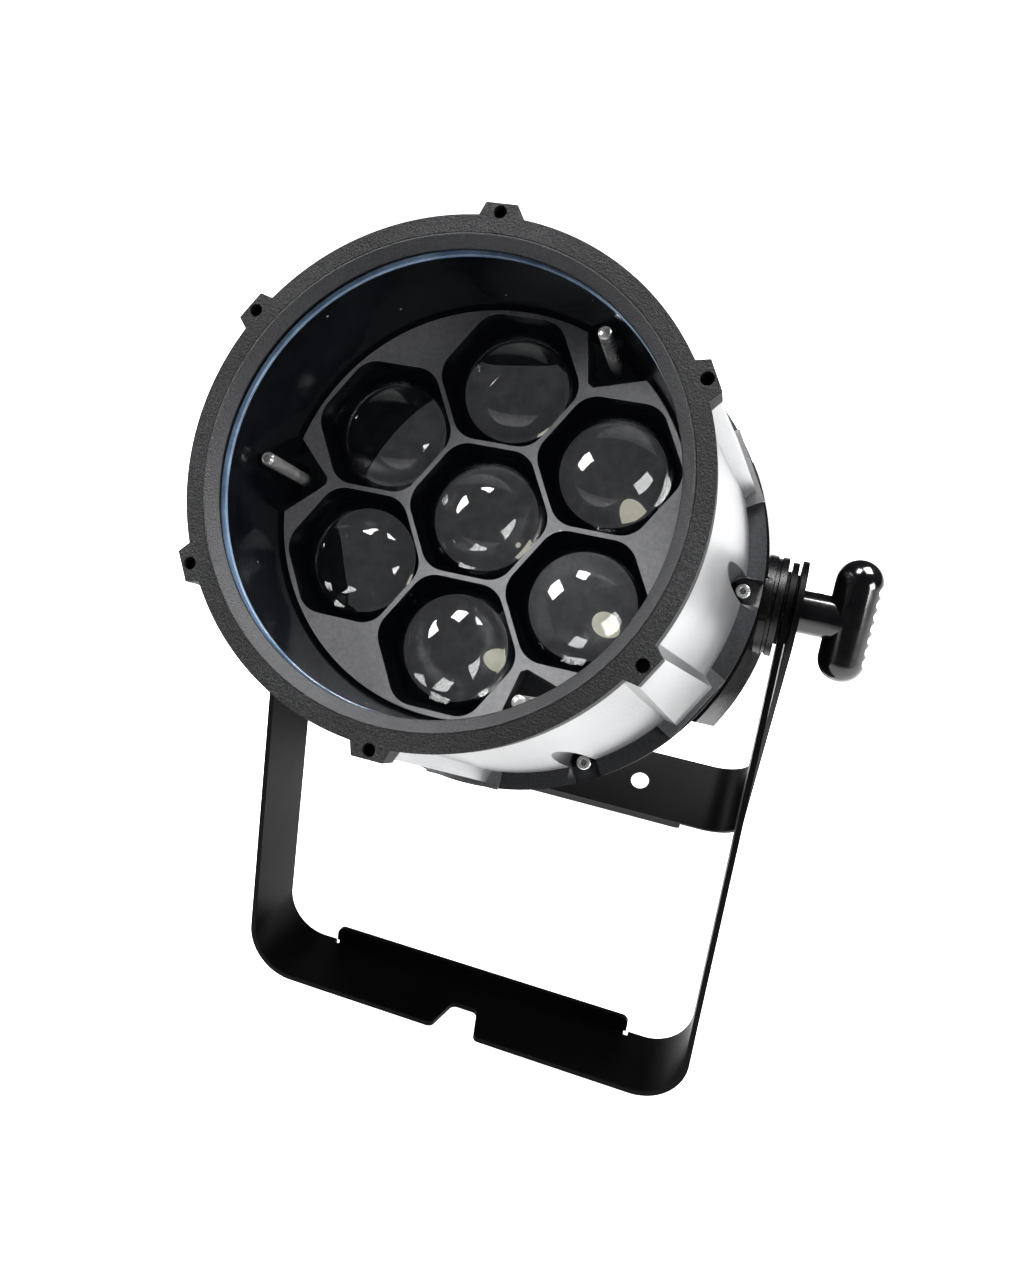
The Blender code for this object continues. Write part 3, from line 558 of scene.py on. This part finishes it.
def buildBezel():
    front, radius = casing["front"], casing["bezelRadius"]
    back = front - casing["bezelDepth"]
    seat = front - casing["glassSeat"]
    outline = []
    for a in between:  # the rim with its six ears
        ear = [(radius - 0.3 * mm, -8.1 * mm), (casing["earReach"], -6.4 * mm),
               (casing["earReach"], 6.4 * mm), (radius - 0.3 * mm, 8.1 * mm)]
        outline += [tuple(Matrix.Rotation(a, 2) @ Vector(corner)) for corner in ear]
        outline += arc((0, 0), radius, a + radians(5.6), a + radians(54.4), 24)
    hole = arc((0, 0), casing["flat"], 0, 2 * pi, 144)[:-1]
    item = plate("bezelRim", [outline, hole], back, front, texturedBlack)
    holes = [cylinder(casing["earHole"], back - mm, front + mm, polar(casing["earCircle"], a), sides=32)
             for a in between]
    cut(item, fromShapes("earHoles", *holes))
    easeEdges(settle(item, headPlace), 0.7 * mm, 3)
    stand(item, "head", "textured_black", "front_bezel")
    slope = [(95.28 * mm, front - 0.15 * mm), (95.28 * mm, seat), (casing["window"] - 0.1 * mm, seat),
             (casing["window"] - 0.1 * mm, front - 3.6 * mm), (casing["window"] + 0.5 * mm, front - 3.1 * mm),
             (94.6 * mm, front - 0.2 * mm)]
    lip = turned("bezelSlope", slope, innerBevelGrey, roundSteps, headPlace)
    easeEdges(lip, 0.15 * mm, 1)
    stand(lip, "head", "textured_black")


def buildPane():
    top = casing["front"] - 5.1 * mm
    edge = 95.2 * mm
    item = turned("frontPane", [(0, top), (edge, top), (edge, top - 4 * mm), (0, top - 4 * mm)], paneGlass,
                  96, headPlace)
    easeEdges(item, 0.3 * mm, 2)
    stand(item, "head", "clear_glass", "front_glass")
    high, low = top - 4.3 * mm, casing["front"] - casing["bezelDepth"] - 8 * mm
    profile = [(90.5 * mm, high), (92.8 * mm, high), (92.8 * mm, low), (91.2 * mm, low),
               (91.2 * mm, high - 3.4 * mm), (90.5 * mm, high - 2.8 * mm), (90.5 * mm, high - 1.6 * mm)]
    ring = turned("paneEdgeRing", profile, glassTint)
    ring.data.materials.append(linerBlack)
    for face in ring.data.polygons:
        face.material_index = 1 if face.center.z < high - 2 * mm else 0
    easeEdges(settle(ring, headPlace), 0.3 * mm, 2)
    stand(ring, "head", "clear_glass", "glass_gasket")


def ribShape(angle, top, back):
    front = {"outer": (106.2 * mm, 6.6 * mm), "root": (96 * mm, 11.1 * mm)}
    rear = {"outer": (120 * mm, 12.5 * mm), "root": (108 * mm, 16.4 * mm)}

    def shape(bm):
        spin = Matrix.Rotation(angle, 4, "Z")
        for vert in bmesh.ops.create_cube(bm, size=1)["verts"]:
            end = rear if vert.co.z < 0 else front
            reach, half = end["outer" if vert.co.x > 0 else "root"]
            vert.co = spin @ Vector((reach, half * (1 if vert.co.y > 0 else -1),
                                     back if vert.co.z < 0 else top))
    return shape


def buildShell():
    top = casing["front"] - casing["bezelDepth"] - casing["gap"]
    back = casing["flangeFront"] + casing["gap"]
    lip, bore, depth = casing["shellLip"], casing["shellBore"], casing["padDepth"]
    profile = [(lip, top), (casing["shellFront"], top), (casing["shellRear"], back + depth),
               (casing["shellRear"], back), (bore, back), (bore, 64 * mm),
               (97.5 * mm, top - 8 * mm), (lip, top - 6 * mm)]
    item = turned("shellCan", profile, silverPaint)
    pads = [block((108.5 * mm, -19 * mm, back), (122 * mm, 19 * mm, back + depth),
                  Matrix.Rotation(a, 4, "Z")) for a in between]
    for shapes in ([ribShape(a, top, back) for a in between], pads):
        join(item, fromShapes("ribs", *shapes))
    channels = [cylinder(casing["channel"], back - 5 * mm, casing["channelTop"],
                         polar(casing["screwCircle"], a), sides=48) for a in sixths]
    # the channel walls take the dark grey as painted shade in the recesses
    item.data.materials.append(anthracite)
    cut(item, secondFinish(fromShapes("channels", *channels), silverPaint, anthracite))
    easeEdges(settle(item, headPlace), 0.6 * mm, 2, 20)
    stand(item, "head", "silver", "front_shell")


def buildFlange():
    front, back, radius = casing["flangeFront"], casing["flangeBack"], casing["flangeRadius"]
    # the flange ring is dark grey all over as painted shade: its front face looks dark from how light falls on the
    # one casting
    profile = [(98 * mm, front), (radius, front), (radius, back), (98 * mm, back)]
    item = turned("flangeRing", profile, anthracite)
    low, reach = casing["seat"], casing["channel"]
    wells = [cylinder(reach, low, front + 3 * mm, polar(casing["screwCircle"], a), sides=48) for a in sixths]
    cut(item, fromShapes("wells", *wells))
    mouths = [block((casing["screwCircle"], -reach, low), (radius + 5 * mm, reach, front + 3 * mm),
                    Matrix.Rotation(a, 4, "Z")) for a in sixths]
    cut(item, fromShapes("mouths", *mouths))
    easeEdges(settle(item, headPlace), 0.5 * mm, 2)
    stand(item, "head", "anthracite", "body_flange")


def hexOutline(radius):
    return [polar(radius, a) for a in sixths]


def socketScrew(name, low, radius, height, place):
    # a socket cap screw with a rounded head and a hexagon in its top
    top = low + height
    profile = [(0, top), (radius - 0.5 * mm, top), (radius - 0.15 * mm, top - 0.15 * mm),
               (radius, top - 0.5 * mm), (radius, low), (0, low)]
    item = turned(name, profile, brightSteel, 40)
    cut(item, plate("hexagon", [hexOutline(radius * 0.5)], top - height * 0.55, top + mm))
    easeEdges(settle(item, place), 0.12 * mm, 1)
    return item


def buildShellScrews():
    for k, a in enumerate(sixths):
        x, y = polar(casing["screwCircle"], a)
        item = socketScrew("shellScrew%d" % (k + 1), casing["seat"] + casing["gap"], 3.6 * mm, 4.2 * mm,
                           onHead(x, y))
        stand(item, "head", "steel", "shell_screw_%d" % (k + 1))


pivotCasting = {"inner": 112 * mm, "front": 124.5 * mm, "outer": 131 * mm, "low": -33 * mm, "foot": 7 * mm,
                "trimLow": -67 * mm, "trimHigh": 66 * mm, "face": 133.2 * mm, "root": 23.5 * mm,
                "boss": 25.7 * mm, "bore": 6.3 * mm, "hollow": 32.5 * mm, "eased": 0.6 * mm}


def buildPivotBracket(side, sign):
    top = casing["flangeBack"] - casing["gap"]
    inner, front, outer, low, foot = [pivotCasting[key] for key in ("inner", "front", "outer", "low", "foot")]
    profile = [(inner, top), (front, top), (outer, low), (outer - foot, low - foot), (inner, low - foot)]
    item = turned(side + "Cheek", profile, castBlack)
    first, last = sorted((sign * 60 * mm, sign * 140 * mm))
    cut(item, fromShapes("trim", block((first, pivotCasting["trimLow"], -60 * mm),
                                       (last, pivotCasting["trimHigh"], 60 * mm))), "INTERSECT")
    end, root, boss = pivotCasting["face"], pivotCasting["root"], pivotCasting["boss"]
    profile = [(0, end), (boss, end), (boss, end - 3.2 * mm), (boss - mm, end - 3.6 * mm),
               (boss - mm, end - 5.2 * mm), (boss, end - 5.6 * mm), (boss, 123.3 * mm),
               (root, 121 * mm), (root, 118 * mm), (0, 118 * mm)]
    turn = alongX if sign > 0 else Matrix.Rotation(pi, 4, "Z") @ alongX
    join(item, turned("boss", profile, None, 96, turn))
    first, last = sorted((sign * 100 * mm, sign * 140 * mm))
    cut(item, fromShapes("bore", cylinder(pivotCasting["bore"], first, last, turn=alongX)))
    cut(item, fromShapes("hollow", cylinder(pivotCasting["hollow"], -inner, inner, turn=alongX, sides=96)))
    easeEdges(settle(item, headPlace), pivotCasting["eased"], 3)
    stand(item, "head", "black_casting", side + "_pivot_bracket")


def buildRearHousing():
    top = casing["flangeBack"] - casing["gap"]
    low = casing["coverFront"] + casing["gap"]
    profile = [(104 * mm, top), (111.5 * mm, top), (111.5 * mm, top - 4 * mm), (109 * mm, top - 8 * mm),
               (105 * mm, low), (101 * mm, low), (104 * mm, top - 12 * mm)]
    item = turned("rearHousing", profile, silverPaint)
    slots = []
    for k in range(36):
        angle = radians(10 * (k + 0.5))
        if abs(sin(angle)) > 0.66:
            spin = Matrix.Rotation(angle, 4, "Z")
            slots.append(block((100 * mm, -2.4 * mm, -50 * mm), (120 * mm, 2.4 * mm, 4 * mm), spin))
    cut(item, fromShapes("ventSlots", *slots))
    easeEdges(settle(item, headPlace), 0.5 * mm, 2)
    stand(item, "head", "silver", "rear_housing")


buildBezel()
buildPane()
buildShell()
buildFlange()
buildShellScrews()
for side, sign in (("left", -1), ("right", 1)):
    buildPivotBracket(side, sign)
buildRearHousing()

print("light engine")
engine = {"pitch": 59.3 * mm, "lens": 27.6 * mm, "trayFront": 118 * mm, "trayFloor": 96 * mm,
          "rim": 90.3 * mm, "rodCircle": 86.7 * mm, "rod": 3 * mm, "rodTip": 148.2 * mm, "wall": 1.1 * mm,
          "board": 60.3 * mm, "seat": 4.3 * mm, "lensHeight": 17 * mm, "lensUnder": 21.5 * mm,
          "lensBelly": 6 * mm, "well": 22.5 * mm, "linerInner": 91.8 * mm, "linerOuter": 93 * mm}
lensPlaces = [(0, 0)] + [polar(engine["pitch"], a) for a in between]


def hexagon(centre, apothem, radius, segments=10):
    reach = apothem / cos(pi / 6)
    corners = [(centre[0] + reach * cos(a), centre[1] + reach * sin(a)) for a in reversed(sixths)]
    return rounded(corners, radius, segments)


def buildTray():
    floor, front = engine["trayFloor"], engine["trayFront"]
    outline = []
    for a in thirds:
        outline += [polar(72 * mm, a - radians(1.2)), polar(72 * mm, a + radians(1.2))]
        outline += arc((0, 0), engine["rim"], a + radians(10.9), a + radians(109.1), 60)
    item = plate("lensTray", [outline], floor, front, trayPaintedLightGrey)
    for a in thirds:
        join(item, fromShapes("arm", block((60 * mm, -8 * mm, floor - mm),
                                           (engine["rodCircle"] + 4 * mm, 8 * mm, floor + 5 * mm),
                                           Matrix.Rotation(a, 4, "Z"))))
    apothem = engine["pitch"] / 2 - engine["wall"]
    item.data.materials.append(linerBlack)
    windows = [hexagon(centre, apothem, 12 * mm) for centre in lensPlaces]
    # the window and ledge walls stay black, the faces keep the painted light grey
    cut(item, secondFinish(plate("windows", windows, front - 11 * mm, front + 5 * mm), trayPaintedLightGrey, linerBlack))
    ledges = [hexagon(centre, apothem - 1.2 * mm, 11 * mm) for centre in lensPlaces]
    cut(item, secondFinish(plate("ledges", ledges, floor + 4 * mm, front), trayPaintedLightGrey, linerBlack))
    wells = [cylinder(engine["well"], floor - 10 * mm, floor + 10 * mm, centre, sides=64)
             for centre in lensPlaces]
    cut(item, fromShapes("wells", *wells))
    bores = [cylinder(engine["rod"] + 0.3 * mm, floor - 10 * mm, floor + 10 * mm,
                      polar(engine["rodCircle"], a), sides=32) for a in thirds]
    cut(item, fromShapes("rodBores", *bores))
    easeEdges(settle(item, headPlace), 0.35 * mm, 2)
    stand(item, "zoom_tray", "tray_black", "lens_tray")


def cap(radius, height, base, rings):
    # half the section of a spherical cap, from its crown out to its rim
    ball = (radius ** 2 + height ** 2) / (2 * height)
    sweep = asin(radius / abs(ball))
    return [(abs(ball) * sin(sweep * k / rings), base + height - ball + ball * cos(sweep * k / rings))
            for k in range(rings + 1)]


def buildLenses():
    seat = engine["trayFloor"] + engine["seat"]
    radius = engine["lens"]
    lower = cap(engine["lensUnder"], -engine["lensBelly"], seat, 16)
    profile = cap(radius, engine["lensHeight"], seat + 2 * mm, 32) + [(radius, seat)] + list(reversed(lower))
    for k, (x, y) in enumerate(lensPlaces):
        item = turned("lensDome%d" % (k + 1), profile, lensGlass, 96, onHead(x, y))
        easeEdges(item, 0.2 * mm, 2, 50, weighted=False)
        stand(item, "zoom_tray", "clear_glass", "lens_%d" % (k + 1))


def buildEmitters():
    low = engine["board"]
    face = low + 1.6 * mm
    profile = [(0, face), (80 * mm, face), (80 * mm, low), (0, low)]
    board = turned("ledBoard", profile, boardGreyPaintedGlow, 96, headPlace)
    easeEdges(board, 0.2 * mm, 1)
    stand(board, "head", "circuit", "led_board")
    profile = [(0, face + 3 * mm), (1.8 * mm, face + 2.7 * mm), (3 * mm, face + 1.9 * mm),
               (3.5 * mm, face + 0.4 * mm), (3.5 * mm, face + 0.05 * mm), (0, face + 0.05 * mm)]
    for k, (x, y) in enumerate(lensPlaces):
        item = turned("ledEmitter%d" % (k + 1), profile, ledCreamPaintedGlow, 48, onHead(x, y))
        easeEdges(item, 0.2 * mm, 2, 50)
        stand(item, "head", "circuit")


def buildRods():
    radius, tip, foot, pitch = engine["rod"], engine["rodTip"], 57 * mm, 1.25 * mm
    profile = [(0, tip), (radius - 1.1 * mm, tip), (radius - 1.0 * mm, tip - 0.3 * mm),
               (radius - 0.7 * mm, tip - 0.3 * mm), (radius - 0.5 * mm, tip), (radius, tip - 0.6 * mm)]
    count = int((tip - foot - 8 * mm) / pitch)
    for k in range(count):  # thread crests and roots
        z = tip - 4 * mm - k * pitch
        profile += [(radius, z), (radius - 0.35 * mm, z - pitch * 0.35), (radius, z - pitch * 0.7)]
    profile += [(radius, foot), (0, foot)]
    for k, a in enumerate(thirds):
        x, y = polar(engine["rodCircle"], a)
        item = turned("zoomRod%d" % (k + 1), profile, brightSteel, 28, onHead(x, y))
        easeEdges(item, 0.05 * mm, 1, 60)
        stand(item, "lead_screw_%d" % (k + 1), "steel", "lead_screw_%d" % (k + 1))


def buildLiner():
    low, high = 66 * mm, 160 * mm
    inner, outer = engine["linerInner"], engine["linerOuter"]
    profile = [(inner, high), (outer, high), (outer, low), (inner, low)]
    item = turned("headLiner", profile, linerBlack, roundSteps, headPlace)
    easeEdges(item, 0.3 * mm, 1)
    stand(item, "head", "rubber", "inner_liner")


buildTray()
buildLenses()
buildEmitters()
buildRods()
buildLiner()

print("back panel")
panel = {"face": -78 * mm, "display": (27 * mm, 30 * mm, 58 * mm), "buttonY": 14 * mm, "key": 4.5 * mm}


def buildCover():
    front, face = casing["coverFront"], panel["face"]
    profile = [(0, front), (103 * mm, front), (105 * mm, front - 1 * mm), (105 * mm, front - 5 * mm),
               (104 * mm, front - 6.2 * mm), (101 * mm, face), (0, face)]
    item = turned("rearCover", profile, silverPaint)
    half, low, high = panel["display"]
    outline = rounded([(-half, low), (half, low), (half, high), (-half, high)], 2 * mm)
    cut(item, plate("displayRecess", [outline], face - 2 * mm, face + 2 * mm))
    keys = [cylinder(panel["key"] + 0.3 * mm, face - 2 * mm, face + 4 * mm, (x, panel["buttonY"]))
            for x in [(-24 + 16 * k) * mm for k in range(4)]]
    cut(item, fromShapes("keyWells", *keys))
    easeEdges(settle(item, headPlace), 0.5 * mm, 2)
    stand(item, "head", "silver", "rear_cover")
    for k in range(6):
        spot = Matrix.Translation((*polar(93 * mm, radians(30 + 60 * k)), 0)) @ Matrix.Rotation(pi, 4, "X")
        screw = socketScrew("coverScrew%d" % (k + 1), -face + 0.1 * mm, 3.4 * mm, 2.6 * mm, headPlace @ spot)
        stand(screw, "head", "steel")


def buildDisplay():
    half, low, high = panel["display"]
    gap, face = 0.3 * mm, panel["face"]
    outline = rounded([(gap - half, low + gap), (half - gap, low + gap), (half - gap, high - gap),
                       (gap - half, high - gap)], 1.7 * mm)
    item = plate("displayWindow", [outline], face - 0.5 * mm, face + 1.7 * mm, screenGlass)
    easeEdges(settle(item, headPlace), 0.3 * mm, 2)
    stand(item, "head", "gloss_black", "display_window")


def buildButtons():
    key, face = panel["key"], panel["face"]
    profile = [(0, face + 2.5 * mm), (key, face + 2.5 * mm), (key, face - 0.8 * mm),
               (key - 0.3 * mm, face - 1.4 * mm), (key - 0.9 * mm, face - 1.8 * mm),
               (key - 1.8 * mm, face - 1.6 * mm), (0, face - 1.4 * mm)]
    for k in range(4):
        item = turned("menuKey%d" % (k + 1), profile, rubberBlack, 48,
                      headPlace @ Matrix.Translation(((-24 + 16 * k) * mm, panel["buttonY"], 0)))
        easeEdges(item, 0.1 * mm, 1)
        stand(item, "button_%d" % (k + 1), "rubber", "button_%d" % (k + 1))


def buildSockets():
    sockets = {"power_in": (-48, -22, 14, 3), "power_out": (48, -22, 14, 3), "dmx_in": (-20, -44, 12, 5),
               "dmx_out": (20, -44, 12, 5)}
    for name, (x, y, radius, pins) in sockets.items():
        outer = radius * mm
        high = panel["face"] - 0.3 * mm
        low = high - 12 * mm
        profile = [(0, high), (outer, high), (outer, high - 2.6 * mm), (outer - 0.4 * mm, high - 3 * mm),
                   (outer - 1.6 * mm, high - 3.2 * mm), (outer - 2 * mm, low + 1 * mm),
                   (outer - 2.6 * mm, low), (outer - 4.5 * mm, low), (outer - 4.8 * mm, low + 0.5 * mm),
                   (outer - 4.8 * mm, high - 3 * mm),
                   (0, high - 3 * mm)]
        item = turned(name.replace("_", "") + "Socket", profile, glossBlack, 64,
                      onHead(x * mm, y * mm))
        easeEdges(item, 0.2 * mm, 2)
        stand(item, "head", "gloss_black", name + "_socket")
        contacts = [cylinder(0.9 * mm, low + 4 * mm, high - 3.1 * mm,
                             polar((outer - 4.5 * mm) * 0.55, 2 * pi * k / pins + 0.3), sides=16)
                    for k in range(pins)]
        item = fromShapes(name.replace("_", "") + "Pins", *contacts, material=brightSteel)
        easeEdges(settle(item, onHead(x * mm, y * mm)), 0.2 * mm, 2)
        stand(item, "head", "steel")


def buildEyelet():
    foot = panel["face"] - 0.3 * mm
    reach, half = 20 * mm, 12 * mm
    outline = [(-half, 0), (half, 0), (half, half - reach)]
    outline += arc((0, half - reach), half, 0, -pi, 36)[1:]
    hole = arc((0, half - reach + mm), 6.5 * mm, 0, 2 * pi, 48)[:-1]
    item = plate("safetyEyelet", [outline, hole], -1.5 * mm, 1.5 * mm, brightSteel,
                 Matrix.Translation((0, 82 * mm, foot)) @ across)
    easeEdges(settle(item, headPlace), 0.6 * mm, 3)
    stand(item, "head", "steel", "safety_eyelet")


buildCover()
buildDisplay()
buildButtons()
buildSockets()
buildEyelet()

print("studio")


def buildFloor():
    bm = bmesh.new()
    bmesh.ops.create_grid(bm, x_segments=1, y_segments=1, size=12)
    mesh = bpy.data.meshes.new("studioFloor")
    bm.to_mesh(mesh)
    bm.free()
    material = bpy.data.materials.new("paleFloor")
    material.use_nodes = True
    shader = material.node_tree.nodes["Principled BSDF"]
    shader.inputs["Base Color"].default_value = (0.55, 0.55, 0.55, 1)
    shader.inputs["Roughness"].default_value = 0.9
    shader.inputs["Specular IOR Level"].default_value = 0.0
    shader.inputs["Emission Color"].default_value = (1, 1, 1, 1)
    shader.inputs["Emission Strength"].default_value = 0.78
    floor = addObject("studioFloor", mesh, material)


def areaLight(name, direction, distance, width, height, power):
    data = bpy.data.lights.new(name, "AREA")
    data.shape = "RECTANGLE"
    data.size = width
    data.size_y = height
    data.energy = power
    lamp = bpy.data.objects.new(name, data)
    bpy.context.scene.collection.objects.link(lamp)
    aim = Vector((0, -0.05, 0.35))
    lamp.location = aim + Vector(direction).normalized() * distance
    lamp.rotation_euler = (lamp.location - aim).to_track_quat("Z", "Y").to_euler()
    lamp.visible_camera = False
    return lamp


panels = [("overheadPanel", (0.42, 0.30, 0.86), 0.9, 0.9, 52),
          ("topPanel", (-0.146, 0.058, 0.98), 0.7, 0.5, 30),
          ("leftPanel", (-0.75, -0.31, 0.58), 0.7, 0.7, 38),
          ("rightPanel", (0.90, -0.41, 0.16), 0.7, 0.7, 24),
          ("backPanel", (-0.90, 0.40, 0.2), 0.4, 0.4, 10)]
panelDistance = 1.7


def buildStudio():
    for name, direction, width, height, power in panels:
        areaLight(name, direction, panelDistance, width, height, power)
    world = bpy.data.worlds.new("studioWorld")
    bpy.context.scene.world = world
    world.use_nodes = True
    tree = world.node_tree
    tree.nodes.clear()
    sink = tree.nodes.new("ShaderNodeOutputWorld")
    mix = tree.nodes.new("ShaderNodeMixShader")
    fill = tree.nodes.new("ShaderNodeBackground")
    fill.inputs["Color"].default_value = (0.9, 0.93, 1.0, 1)
    fill.inputs["Strength"].default_value = 0.06
    backdrop = tree.nodes.new("ShaderNodeBackground")
    backdrop.inputs["Strength"].default_value = 1.0
    tree.links.new(tree.nodes.new("ShaderNodeLightPath").outputs["Is Camera Ray"], mix.inputs["Fac"])
    tree.links.new(fill.outputs[0], mix.inputs[1])
    tree.links.new(backdrop.outputs[0], mix.inputs[2])
    tree.links.new(mix.outputs[0], sink.inputs["Surface"])
    bpy.context.scene.view_settings.view_transform = "Standard"
    bpy.context.scene.view_settings.look = "High Contrast"


def buildCamera():
    data = bpy.data.cameras.new("studioCamera")
    data.lens = 28.22
    data.sensor_width = 36
    data.shift_x = 0.0016
    data.shift_y = -0.0326
    camera = bpy.data.objects.new("studioCamera", data)
    bpy.context.scene.collection.objects.link(camera)
    camera.location = (0.1261, -0.4316, 0.5610)
    camera.rotation_euler = (radians(57.252), radians(-2.322), radians(18.624))
    bpy.context.scene.camera = camera


buildFloor()
buildStudio()
buildCamera()
